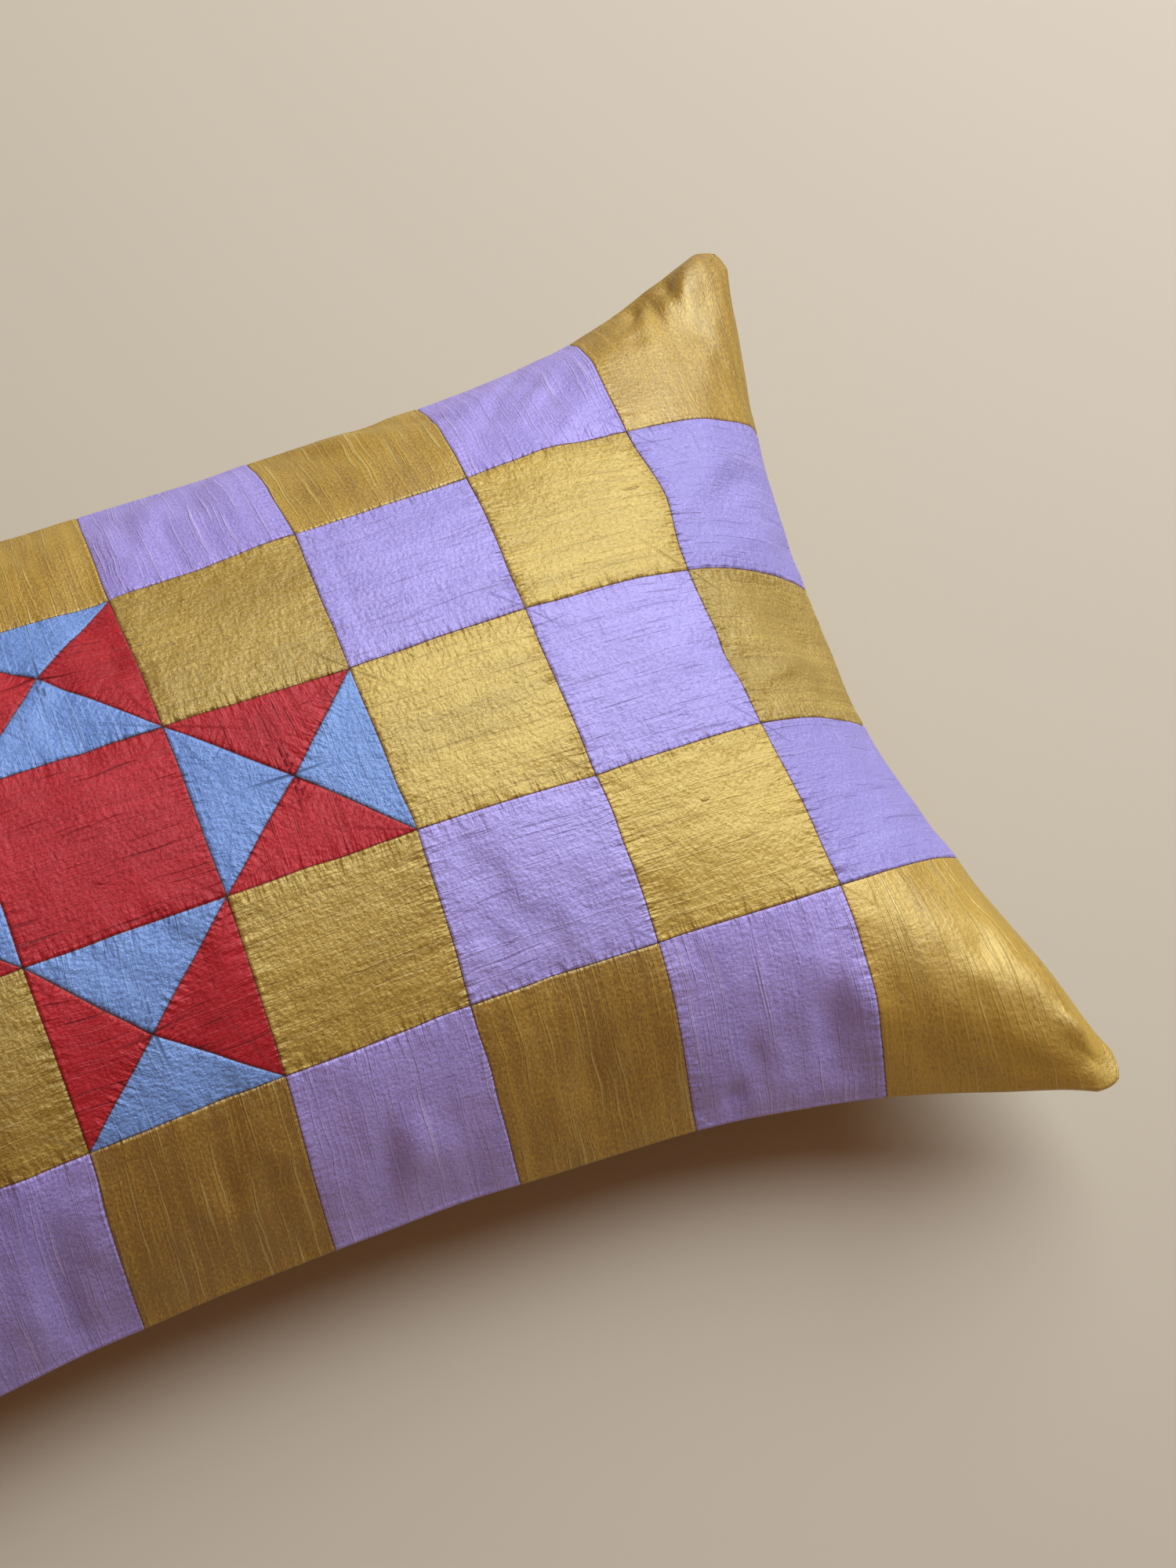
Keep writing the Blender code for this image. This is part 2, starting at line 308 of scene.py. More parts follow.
def boxMiddle():
    # the seam reaches furthest out, and the frame's origin is under the middle of its box
    line = np.linspace(-1, 1, 2001)
    end = np.ones_like(line)
    u = np.concatenate([line, line, end, -end]) * halfLong
    v = np.concatenate([end, -end, line, line]) * halfWide
    seam = panelPoint(u, v, 1)
    return np.array([*(seam[:, :2].min(0) + seam[:, :2].max(0)) / 2, 0])


middle = boxMiddle()
print("panel drawn in, its middle is", middle.round(5).tolist())


noiseSize = (61, 67)
# Where each kind of unevenness is read from the noise, and its seed
readAt = {
    "wobbleAlong": (7.3, 2.9, 11), "wobbleAcross": (3.1, 8.7, 12),
    "rimRise": (5.2, 1.7, 21), "rimInward": (9.1, 4.4, 22),
    "slack": (11, 13, 31), "ripple": (17, 19, 32), "hemGather": (30, 20.5, 41),
    "crease": (0, 0, 61), "crossCrease": (9, 5, 62), "crumple": (0, 0, 63),
    "pucker": (40, 3.5, 0), "gather": (40, 9.5, 0),
}


def uneven(kind, x, y, more=0):
    # smooth hills and hollows about one unit wide, from -1 to 1, the same each run
    fromX, fromY, seed = readAt[kind]
    x, y = x + fromX, y + fromY
    long, wide = noiseSize
    grid = np.random.default_rng(seed + more).uniform(-1, 1, noiseSize)
    i, j = np.floor(x).astype(int), np.floor(y).astype(int)
    a, b = x - i, y - j
    a, b = a * a * (3 - 2 * a), b * b * (3 - 2 * b)
    near = grid[i % long, j % wide] * (1 - b) + grid[i % long, (j + 1) % wide] * b
    far = grid[(i + 1) % long, j % wide] * (1 - b) + grid[(i + 1) % long, (j + 1) % wide] * b
    return near * (1 - a) + far * a


# The filling presses a coarse shell of both panels out against the sewn rim. Cloth that is longer
# than its way over the filling crumples there into soft folds
shell = {
    "columns": 92, "rows": 52, "frames": 26, "heldBelow": 2 * mm,
    "broad": 18 * mm, "most": 1.3 * mm, "rimFade": 32 * mm, "fineStep": 1.5 * mm,
    "rimWithin": 0.1 * mm, "weld": 0.01 * mm,
}
shellCloth = {
    "quality": 7, "mass": 0.3, "tension_stiffness": 30.0, "compression_stiffness": 30.0,
    "shear_stiffness": 10.0, "bending_stiffness": 0.6, "shrink_min": -0.006,
    "use_pressure": True, "uniform_pressure_force": 6.0, "vertex_group_mass": "held",
}


def deselectAll():
    bpy.ops.object.select_all(action="DESELECT")


def setMode(mode):
    bpy.ops.object.mode_set(mode=mode)


def addGrid(columns, rows):
    deselectAll()
    bpy.ops.mesh.primitive_grid_add(x_subdivisions=columns, y_subdivisions=rows, size=1)
    return bpy.context.object


def readPoints(mesh):
    flat = np.empty(len(mesh.vertices) * 3, np.float32)
    mesh.vertices.foreach_get("co", flat)
    return flat.reshape(-1, 3).astype(float)


def writePoints(mesh, points):
    mesh.vertices.foreach_set("co", points.astype(np.float32).ravel())
    mesh.update()


def writeAttribute(mesh, name, values):
    kind, field = ("FLOAT_VECTOR", "vector") if values.ndim == 2 else ("FLOAT", "value")
    layer = mesh.attributes.new(name, kind, "POINT")
    layer.data.foreach_set(field, values.astype(np.float32).ravel())


def makeShell():
    # two flat grids with one rim between them, shaped like the filled cushion
    piece = addGrid(shell["columns"], shell["rows"])
    setMode("EDIT")
    bpy.ops.mesh.select_all(action="SELECT")
    bpy.ops.mesh.duplicate()
    bpy.ops.transform.translate(value=(0, 0, -1))
    bpy.ops.mesh.flip_normals()
    setMode("OBJECT")
    local = readPoints(piece.data)
    u, v = local[:, 0] * 2 * halfLong, local[:, 1] * 2 * halfWide
    side = np.where(local[:, 2] < -0.5, -1, 1)
    front = (side > 0)[:, None]
    writePoints(piece.data, np.where(front, panelPoint(u, v, 1), panelPoint(u, v, -1)) - middle)
    writeAttribute(piece.data, "flat", np.stack([u, v, side], axis=-1))
    setMode("EDIT")
    bpy.ops.mesh.select_all(action="SELECT")
    bpy.ops.mesh.remove_doubles(threshold=shell["weld"])
    setMode("OBJECT")
    return piece


def pressOut():
    # how far the cloth of each panel moves, on a grid of flat places
    piece = makeShell()
    columns, rows = shell["columns"], shell["rows"]
    start = readPoints(piece.data)
    flat = np.empty(len(start) * 3, np.float32)
    piece.data.attributes["flat"].data.foreach_get("vector", flat)
    u, v, side = flat.reshape(-1, 3).astype(float).T
    still = (hemDistance(u, v) < shell["rimWithin"]) | (start[:, 2] < shell["heldBelow"])
    held = piece.vertex_groups.new(name="held")
    held.add([int(k) for k in np.where(still)[0]], 1.0, "REPLACE")
    cloth = piece.modifiers.new("cloth", "CLOTH")
    for name, value in shellCloth.items():
        setattr(cloth.settings, name, value)
    cloth.settings.effector_weights.gravity = 0
    cloth.point_cache.frame_start, cloth.point_cache.frame_end = 1, shell["frames"]
    for frameNumber in range(1, shell["frames"] + 1):
        bpy.context.scene.frame_set(frameNumber)
    bpy.ops.object.modifier_apply(modifier=cloth.name)
    move = readPoints(piece.data) - start
    bpy.data.objects.remove(piece)
    bpy.context.scene.frame_set(1)
    far = np.linalg.norm(move, axis=1)
    print("filling pressed out by", (far.mean() / mm).round(2), "mm, at most", (far.max() / mm).round(2))
    i = np.round((u / halfLong + 1) / 2 * columns).astype(int)
    j = np.round((v / halfWide + 1) / 2 * rows).astype(int)
    broadU, broadV = broadShares(halfLong, columns), broadShares(halfWide, rows)
    fineU, fineV = cubicShares(halfLong, columns), cubicShares(halfWide, rows)
    us, vs = np.linspace(-halfLong, halfLong, columns + 1), np.linspace(-halfWide, halfWide, rows + 1)
    toRim = hemDistance(us[:, None], vs[None, :])
    moves = {}
    for panelSide in (1, -1):
        grid = np.zeros((columns + 1, rows + 1, 3))
        mine = side == panelSide
        grid[i[mine], j[mine]] = move[mine]
        grid -= np.einsum("ai,ijk,bj->abk", broadU, grid, broadV)
        size = np.linalg.norm(grid, axis=-1, keepdims=True)
        grid /= np.sqrt(1 + (size / shell["most"]) ** 2)
        grid *= np.clip(toRim / shell["rimFade"], 0, 1)[..., None]
        moves[panelSide] = np.einsum("ai,ijk,bj->abk", fineU, grid, fineV)
    return moves


def broadShares(half, count):
    # shares of the coarse grid's lines in a broad mean, which is the swelling without its folds
    line = np.linspace(-half, half, count + 1)
    shares = np.exp(-(((line[:, None] - line[None, :]) / shell["broad"]) ** 2) / 2)
    return shares / shares.sum(axis=1, keepdims=True)


cubic = ((-1, 2, -1, 0), (3, -5, 0, 2), (-3, 4, 1, 0), (1, -1, 0, 0))


def cubicShares(half, count):
    # shares of the coarse grid's lines in each line of a fine one
    fine = np.linspace(0, count, round(2 * half / shell["fineStep"]) + 1)
    low = np.clip(np.floor(fine).astype(int), 0, count - 1)
    t = fine - low
    shares = np.zeros((len(fine), count + 1))
    for offset, powers in enumerate(cubic):
        near = np.clip(low + offset - 1, 0, count)
        np.add.at(shares, (np.arange(len(fine)), near), np.polyval(powers, t) / 2)
    return shares


moves = pressOut()


def pressedOut(u, v, side):
    if moves is None:
        return np.zeros(u.shape + (3,))
    grid = moves[side]
    us = np.linspace(-halfLong, halfLong, grid.shape[0])
    vs = np.linspace(-halfWide, halfWide, grid.shape[1])
    return np.stack([sampled(us, vs, grid[..., k], u, v) for k in range(3)], axis=-1)


# How the sewing strays from an even grid: a crossing of seams by column and row, and how far it lies
# off along and across in mm. Whole numbers are the middle of an hourglass block
strays = [
    (0.5, 1.5, -0.9, -1.4), (1.5, 1.5, 1.3, -0.5), (2.5, 1.5, 0.7, 0.4), (3.5, 1.5, -1.4, -1.4),
    (0.5, 0.5, 0.9, -0.2), (1.5, 0.5, -0.4, -1.7), (2.5, 0.5, -1.3, -0.4), (3.5, 0.5, -1.4, 0.5),
    (0.5, -0.5, 1.2, 0.3), (1.5, -0.5, 0.5, 0.0), (2.5, -0.5, -1.1, -1.3), (3.5, -0.5, -0.6, 0.6),
    (0.5, -1.5, 0.5, 0.2), (1.5, -1.5, -1.0, 1.2), (2.5, -1.5, -0.1, 1.3), (3.5, -1.5, 1.0, 1.4),
    (-0.5, -0.5, -0.6, 0.8), (-0.5, -1.5, 0.7, -0.3), (-0.5, 1.5, 0.4, -0.8), (-0.5, 0.5, -0.8, 0.5),
    (-1.5, 1.5, -0.9, 0.6), (-2.5, 1.5, 0.5, -0.7), (-3.5, 1.5, 1.1, 0.9), (-1.5, 0.5, 0.7, 0.9),
    (-2.5, 0.5, -0.6, -0.8), (-3.5, 0.5, 0.9, 0.3), (-1.5, -0.5, -0.8, -0.6), (-2.5, -0.5, 0.9, 0.7),
    (-3.5, -0.5, 0.4, -0.9), (-1.5, -1.5, 0.8, -0.7), (-2.5, -1.5, -0.7, -1.0), (-3.5, -1.5, -0.8, 0.8),
    (0, 1, 0.2, 2.3), (1, 0, 2.4, -0.5), (0, -1, -1.7, -2.0), (-1, 0, -1.4, 0.8),
]
strayAt = {row[:2]: np.array(row[2:]) * mm for row in strays}
# and a few seams that bow between their crossings: place in mm, how far round it, and the bow
bowColumns = ("along", "across", "reach", "moveAlong", "moveAcross")
bows = [
    (213.5, 60.0, 15, 3.2, 0.0),
    (213.5, -58.0, 16, 0.8, 0.0),
    (183.0, 88.5, 15, 0.0, 1.2),
]
wobble = {"size": 14 * mm, "height": 0.35 * mm, "rimFade": 30 * mm}


def strayed(columns, rows):
    # flat places of points counted in patches, with the seams where they were really sewn
    u, v = placeInPatches(columns, rows)
    grid = np.zeros((columnCount + 1, rowCount + 1, 2))
    for (column, row), move in strayAt.items():
        if column % 1:
            grid[round(column + columnCount / 2), round(row + rowCount / 2)] = move
    a, b = columns + columnCount / 2, rows + rowCount / 2
    i = np.clip(np.floor(a).astype(int), 0, columnCount - 1)
    j = np.clip(np.floor(b).astype(int), 0, rowCount - 1)
    a, b = (a - i)[:, None], (b - j)[:, None]
    move = (grid[i, j] * (1 - a) + grid[i + 1, j] * a) * (1 - b)
    move += (grid[i, j + 1] * (1 - a) + grid[i + 1, j + 1] * a) * b
    for (column, row), target in strayAt.items():
        if column % 1 == 0:
            k, m = column + columnCount // 2, row + rowCount // 2
            mean = grid[k : k + 2, m : m + 2].mean(axis=(0, 1))
            out = np.maximum(np.abs(columns - column), np.abs(rows - row)) * 2
            move += np.clip(1 - out, 0, 1)[:, None] * (target - mean)
    for values in bows:
        bow = dict(zip(bowColumns, values))
        away = np.hypot(u - bow["along"] * mm, v - bow["across"] * mm)
        share = bell(away / (bow["reach"] * mm))
        move += share[:, None] * np.array([bow["moveAlong"], bow["moveAcross"]]) * mm
    size = wobble["size"]
    fade = np.clip(hemDistance(u, v) / wobble["rimFade"], 0, 1) * wobble["height"]
    moveU = uneven("wobbleAlong", u / size, v / size) * fade
    moveV = uneven("wobbleAcross", u / size, v / size) * fade
    return u + move[:, 0] + moveU, v + move[:, 1] + moveV


def foldHeight(u, v):
    # how far the folds stand out of the front, or lie in it
    height = np.zeros_like(u)
    for fold in allFolds:
        angle = math.radians(fold["turn"])
        du, dv = u - fold["along"] * mm, v - fold["across"] * mm
        lengthwise = (du * math.cos(angle) + dv * math.sin(angle)) / (fold["length"] * mm)
        crosswise = (dv * math.cos(angle) - du * math.sin(angle)) / (fold["width"] * mm)
        height += fold["height"] * mm * bell(lengthwise) * bell(crosswise)
    return height


# Relief of the sewn cloth in mm: a thin ditch at a seam, the folded edge beside it, puckers that the
# thread pulls in, the step over the turned-under allowance, and the slack of the cloth between
sewing = {
    "ditchDepth": 0.18, "ditchWidth": 0.30, "dipDepth": 0.10, "dipWidth": 1.4,
    "rollHeight": 0.12, "plainRoll": 0.03, "rollAt": 0.8, "rollWidth": 0.5,
    "allowance": 7.0, "allowanceHeight": 0.14, "allowanceEase": 0.8,
    "puckerPitch": 2.6, "puckerReach": 4.2, "gatherPitch": 6.5, "gatherReach": 8.0, "clearOf": 0.7,
    "drawnReach": 4.0, "drawnEase": 2.0, "stitchShift": 0.37,
    "creaseLength": 3.0, "creaseWidth": 1.3, "creaseHeight": 0.10, "creaseFrom": 50,
    "creaseShift": (7, 3), "crumpleSize": 4.0, "crumpleHeight": 0.08,
    "slackSize": 30.0, "slackHeight": 0.55, "rippleSize": 9.0, "rippleHeight": 0.16,
}
hem = {
    "grooveDepth": 0.5, "grooveWidth": 0.8, "lipHeight": 0.22, "lipAt": 1.4, "lipWidth": 1.0,
    "gatherPitch": 11.0, "gatherHeight": 0.6, "gatherAt": 7.0, "gatherReach": 9.0,
    "waveSize": 26.0, "waveHeight": 0.8, "waveReach": 18.0, "smoothFrom": 0.8,
}


def hemWave(u, v):
    # the sewn rim isn't quite straight, and both panels follow it
    toHem = hemDistance(u, v) / mm
    fade = bell(toHem / hem["waveReach"]) * hem["waveHeight"] * mm
    size = hem["waveSize"] * mm
    rise = uneven("rimRise", u / size, v / size) * fade
    inward = hem["grooveDepth"] * mm * bell(toHem / hem["grooveWidth"])
    inward = inward + (uneven("rimInward", u / size, v / size) * 0.5 + 0.5) * fade
    alongEnd = halfLong - np.abs(u) < halfWide - np.abs(v)
    inU, inV = -np.sign(u) * inward * alongEnd, -np.sign(v) * inward * ~alongEnd
    return np.stack([inU, inV, rise], axis=-1)


def hemRelief(u, v, side):
    # the lip beside the sewn rim and the gathers inside it, which differ from front to back
    ends, sides = (halfLong - np.abs(u)) / mm, (halfWide - np.abs(v)) / mm
    toHem = np.minimum(ends, sides)
    lip = hem["lipHeight"] * bell((toHem - hem["lipAt"]) / hem["lipWidth"])
    gather = 0
    for distance, place, shift in ((ends, v, 0), (sides, u, 1)):
        rowOfNoise = np.sign(u + v) + shift
        wave = uneven("hemGather", place / mm / hem["gatherPitch"], rowOfNoise, 0 if side > 0 else 1)
        gather = gather + wave * bell((distance - hem["gatherAt"]) / hem["gatherReach"])
    rolled = 1 - bell(toHem / hem["smoothFrom"])
    return (lip + gather * hem["gatherHeight"]) * rolled * mm


# Cloths: grain is the way its slubs run, puckers and gathers how far the thread draws it up in mm,
# creases how crushed its surface is
clothColumns = ("slot", "grain", "puckers", "gathers", "creases")
clothRows = {
    "ochre_middle": ("ochre_silk", "along", 0.50, 0.26, 1.5),
    "ochre_border": ("ochre_silk", "across", 0.16, 0.20, 0.25),
    "lilac_middle": ("lilac_silk", "along", 0.34, 0.26, 1.0),
    "lilac_border": ("lilac_silk", "across", 0.24, 0.22, 0.5),
    "red_star": ("red_silk", "along", 0.20, 0.2, 0.45),
    "blue_star": ("blue_silk", "across", 0.22, 0.2, 1.1),
}
cloths = {name: dict(zip(clothColumns, row)) for name, row in clothRows.items()}
# steps across a patch, how much closer they lie at its seams, and how deep its edges turn down
patches = {
    "steps": 80, "easing": 0.6, "turnedUnder": 1.4 * mm, "rimSmooth": 2 * mm, "seamSmooth": 0.8 * mm,
    "seed": 500, "mapShift": 3.0, "toneSpread": 0.4, "bakeGap": 0.012,
}
hourglasses = ((0, 1), (0, -1), (1, 0), (-1, 0))
corners = ((-0.5, -0.5), (0.5, -0.5), (0.5, 0.5), (-0.5, 0.5))

# Patches made lighter or darker by column and row: painted light and shade of where each patch lies, on
# top of the silk's own tone
lighter = {
    (-1, -1): -0.8, (0, -2): -0.6, (1, -1): 0.2, (1, 1): -0.6, (2, -2): -0.1, (2, 0): 0.5, (0, 2): 0.3,
    (2, 2): 0.2, (3, -1): 1.0, (3, 1): 0.4, (4, -2): 0.9, (4, 0): -0.7, (4, 2): -0.1, (-1, -2): -0.2,
    (1, 2): -0.4, (2, -1): 1.0, (2, 1): 0.1, (3, 0): 0.1, (3, 2): -0.2, (4, -1): -1.1, (4, 1): -0.9,
    (3, -2): 0.5, (0, -1): 0.4, (1, -2): 0.5,
}
# and patches with fewer slubs than the rest of their silk
plainer = {(4, 2): 0.25, (4, 0): 0.5, (-4, 2): 0.5, (-4, -2): 0.5}


def clothOf(column, row):
    if column == 0 and row == 0:
        return "red_star"
    colour = "ochre" if (abs(column) + abs(row)) % 2 == 0 else "lilac"
    return colour + ("_border" if abs(row) == rowCount // 2 else "_middle")


def patchList():
    # every patch with its outline, counted in patches from its own middle
    made = []
    for row in range(-(rowCount // 2), rowCount // 2 + 1):
        for column in range(-(columnCount // 2), columnCount // 2 + 1):
            place = {"column": column, "row": row}
            if (column, row) not in hourglasses:
                made.append({**place, "cloth": clothOf(column, row), "outline": corners})
                continue
            for k in range(4):
                a, b = corners[k], corners[(k + 1) % 4]
                onAxis = abs((a[0] + b[0]) * column + (a[1] + b[1]) * row) > 0.5
                cloth = "blue_star" if onAxis else "red_star"
                made.append({**place, "cloth": cloth, "outline": (a, b, (0, 0))})
    return made


def flatPatch(patch):
    # a grid one patch wide, cut to a triangle where it is one quarter of an hourglass
    piece = addGrid(patches["steps"], patches["steps"])
    outline = patch["outline"]
    setMode("EDIT")
    if len(outline) == 3:
        wayOut = Vector((outline[0][0] + outline[1][0], outline[0][1] + outline[1][1], 0))
        for turn in (-45, 45):
            cut = Matrix.Rotation(math.radians(turn), 3, "Z") @ wayOut
            bpy.ops.mesh.select_all(action="SELECT")
            bpy.ops.mesh.bisect(plane_co=(0, 0, 0), plane_no=cut, clear_inner=True, threshold=closeBy)
    bpy.ops.mesh.select_all(action="DESELECT")
    setMode("OBJECT")
    turnUnder(piece, patch)
    return piece


def turnUnder(piece, patch):
    # the edges that are sewn to another patch turn down into the seam; the rim of the cover doesn't
    mesh = piece.data
    places = [vert.co for vert in mesh.vertices]
    counts = {}
    for face in mesh.polygons:
        for key in face.edge_keys:
            counts[key] = counts.get(key, 0) + 1
    for edge in mesh.edges:
        a, b = edge.vertices
        edge.select = counts[edge.key] == 1 and not alongRim(places[a], places[b], patch)
    down = {"value": (0, 0, -patches["turnedUnder"])}
    setMode("EDIT")
    bpy.ops.mesh.select_mode(type="EDGE")
    bpy.ops.mesh.extrude_edges_move(TRANSFORM_OT_translate=down)
    bpy.ops.mesh.select_mode(type="VERT")
    setMode("OBJECT")


def alongRim(a, b, patch):
    # whether a line from one place of a patch to another lies in the cover's rim
    for axis, place, count in ((0, patch["column"], columnCount), (1, patch["row"], rowCount)):
        if all(abs(abs(p[axis] + place) - count / 2) < closeBy for p in (a, b)):
            return True
    return False


# Both patches of a seam find the same number for it from its ends
seamCode, firstSeam = (7, 31, 53, 97), 100


def seamsOf(patch):
    # the sewn sides of a patch as flat lines: a point on it, its way and its number
    found = []
    outline = patch["outline"]
    for k, a in enumerate(outline):
        b = outline[(k + 1) % len(outline)]
        if alongRim(a, b, patch):
            continue
        first, last = sorted((patch["column"] + p[0], patch["row"] + p[1]) for p in (a, b))
        start, end = (np.array(placeInPatches(np.array(p[0]), np.array(p[1]))) for p in (first, last))
        number = int(abs(np.dot(seamCode, first + last)) * 2) + firstSeam
        # which side the allowances are pressed to
        if len(outline) == 3 and (0 in (a[0], b[0])):
            pressed = patch["cloth"] == "blue_star"
        else:
            axis, name = (0, "column") if abs(start[0] - end[0]) < closeBy else (1, "row")
            pressed = patch[name] > first[axis] if number % 3 else patch[name] < first[axis]
        way = (end - start) / np.linalg.norm(end - start)
        found.append({"start": start, "way": way, "number": number, "pressed": pressed})
    return found


def seamRelief(u, v, patch):
    # height of the cloth beside its seams in mm, and the nearest seam as place along it and distance
    cloth = cloths[patch["cloth"]]
    height = np.zeros_like(u)
    nearest, second, alongNearest = np.ones_like(u), np.ones_like(u), np.zeros_like(u)
    for seam in seamsOf(patch):
        du, dv = u - seam["start"][0], v - seam["start"][1]
        along = (du * seam["way"][0] + dv * seam["way"][1]) / mm
        distance = np.abs(du * seam["way"][1] - dv * seam["way"][0]) / mm
        height -= sewing["ditchDepth"] * bell(distance / sewing["ditchWidth"])
        height -= sewing["dipDepth"] * np.exp(-distance / sewing["dipWidth"])
        away = 1 - bell(distance / sewing["clearOf"])
        roll = sewing["rollHeight"] if seam["pressed"] else sewing["plainRoll"]
        height += roll * bell((distance - sewing["rollAt"]) / sewing["rollWidth"]) * away
        if seam["pressed"]:
            past = (distance - sewing["allowance"]) / sewing["allowanceEase"]
            height += sewing["allowanceHeight"] / (1 + np.exp(2 * past)) * away
        pucker = uneven("pucker", along / sewing["puckerPitch"], 0 * along, seam["number"])
        pucker *= cloth["puckers"] * np.exp(-distance / sewing["puckerReach"])
        gather = uneven("gather", along / sewing["gatherPitch"], 0 * along, seam["number"])
        gather *= cloth["gathers"] * np.exp(-distance / sewing["gatherReach"])
        height += (pucker + gather) * away
        off = distance * mm
        closer = off < nearest
        second = np.where(closer, nearest, np.minimum(second, off))
        nearest = np.where(closer, off, nearest)
        stitchPlace = along * mm + seam["number"] * sewing["stitchShift"]
        alongNearest = np.where(closer, stitchPlace, alongNearest)
    # the thread draws the cloth up, less where two seams are as near
    drawn = np.exp(-nearest / (sewing["drawnReach"] * mm))
    drawn *= np.clip((second - nearest) / (sewing["drawnEase"] * mm), 0, 1)
    return height * mm, alongNearest, nearest, drawn


def creaseHeight(weave, patch, number):
    # the crushed surface of raw silk: short creases with sharp floors, mostly along its slubs
    x, y = (weave / mm + sewing["creaseFrom"] + number * np.array(sewing["creaseShift"])).T
    long, wide, size = sewing["creaseLength"], sewing["creaseWidth"], sewing["crumpleSize"]
    sharp = np.abs(uneven("crease", x / long, y / wide))
    sharp -= np.abs(uneven("crossCrease", y / long, x / wide))
    rough = uneven("crumple", x / size, y / size)
    height = sharp * sewing["creaseHeight"] + rough * sewing["crumpleHeight"]
    return height * cloths[patch["cloth"]]["creases"] * mm


def slackHeight(u, v):
    # the slack of the cloth between the folds, in two sizes
    size, ripple = sewing["slackSize"] * mm, sewing["rippleSize"] * mm
    slack = uneven("slack", u / size, v / size) * sewing["slackHeight"]
    return (slack + uneven("ripple", u / ripple, v / ripple) * sewing["rippleHeight"]) * mm


def eased(share):
    # places across a patch from -0.5 to 0.5, closer together towards its seams
    return share - patches["easing"] * np.sin(math.tau * (share + 0.5)) / math.tau


def writeMap(mesh, name, places):
    layer = mesh.uv_layers.get(name) or mesh.uv_layers.new(name=name)
    corner = np.empty(len(mesh.loops), np.int32)
    mesh.loops.foreach_get("vertex_index", corner)
    layer.data.foreach_set("uv", places[corner].astype(np.float32).ravel())


def writeLooks(mesh, seam, tone, slubby):
    # what the silk reads of each point, and which patch it is cut from
    count = len(mesh.vertices)
    writeAttribute(mesh, "seam", np.stack(seam, axis=-1))
    writeAttribute(mesh, "tone", np.full(count, tone))
    writeAttribute(mesh, "slubby", np.full(count, slubby))
    mesh.shade_smooth()


def sewPatch(piece, patch, number, cell):
    # carries the flat patch onto the filled cushion, with its weave, seams and place in the bake
    mesh = piece.data
    place = (patch["column"], patch["row"])
    local = readPoints(mesh)
    under = local[:, 2]
    a, b = eased(local[:, 0]), eased(local[:, 1])
    counted = (place[0] + a, place[1] + b)
    flatU, flatV = placeInPatches(*counted)
    relief, along, distance, drawn = seamRelief(flatU, flatV, patch)
    # the red triangles of the hourglasses are cut with their slubs the other way
    turned = patch["cloth"] == "red_star" and patch["column"] != 0
    across = (cloths[patch["cloth"]]["grain"] == "across") != turned
    weave = np.stack([flatV, flatU] if across else [flatU, flatV], axis=-1)
    clear = 1 - bell(distance / patches["seamSmooth"])
    relief += creaseHeight(weave, patch, number) * clear
    u, v = strayed(*counted)
    toHem = hemDistance(u, v)
    height = relief * np.clip(toHem / patches["rimSmooth"], 0, 1)
    height += (foldHeight(u, v) + slackHeight(u, v)) * np.clip(toHem / seamFade, 0, 1)
    height += hemRelief(u, v, 1)
    points = panelPoint(u, v, 1) + hemWave(u, v) + pressedOut(u, v, 1)
    points += outwardAt(u, v, 1) * (height + under)[:, None] - middle
    writePoints(mesh, points)
    chance = np.random.default_rng(patches["seed"] + number)
    writeMap(mesh, "weave", weave + chance.uniform(0, patches["mapShift"], 2))
    inCell = np.stack([a, b], axis=-1) + 0.5
    writeMap(mesh, "OFBake", cell["corner"] + inCell * cell["size"])
    # the patch's painted light and shade from the table, else a random tone of its own silk
    tone = lighter.get(place, chance.uniform(-patches["toneSpread"], patches["toneSpread"]))
    writeLooks(mesh, [along, distance, drawn], tone, plainer.get(place, 1.0))


def bakeCell(k, count):
    # a square of the bake for each patch, in rows
    across = math.ceil(math.sqrt(count))
    size, gap = 1 / across, patches["bakeGap"]
    corner = np.array([k % across, k // across]) * size + gap / 2
    return {"corner": corner, "size": size - gap}


def dressed(piece, material):
    piece.data.materials.clear()
    piece.data.materials.append(material)
    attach(piece, "root")
    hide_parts("cushion")


def makeCloths(materials):
    # all patches of one silk are one piece
    listed = patchList()
    for name, cloth in cloths.items():
        mine = [(n, patch) for n, patch in enumerate(listed) if patch["cloth"] == name]
        squares = sorted({(patch["column"], patch["row"]) for n, patch in mine})
        made = []
        for number, patch in mine:
            piece = flatPatch(patch)
            cell = bakeCell(squares.index((patch["column"], patch["row"])), len(squares))
            sewPatch(piece, patch, number, cell)
            made.append(piece)
        deselectAll()
        for piece in made:
            piece.select_set(True)
        bpy.context.view_layer.objects.active = made[0]
        bpy.ops.object.join()
        whole = bpy.context.object
        whole.name = whole.data.name = name
        dressed(whole, materials[name])
        print(name, "has", len(mine), "patches and", len(whole.data.polygons), "faces")


# The back is half as fine, and its unevenness eases away towards the table
back = {
    "steps": patches["steps"] // 2, "easesOver": 12 * mm, "slackShift": 1.0, "mapShift": 5.0,
    "bakeSize": 0.99,
}


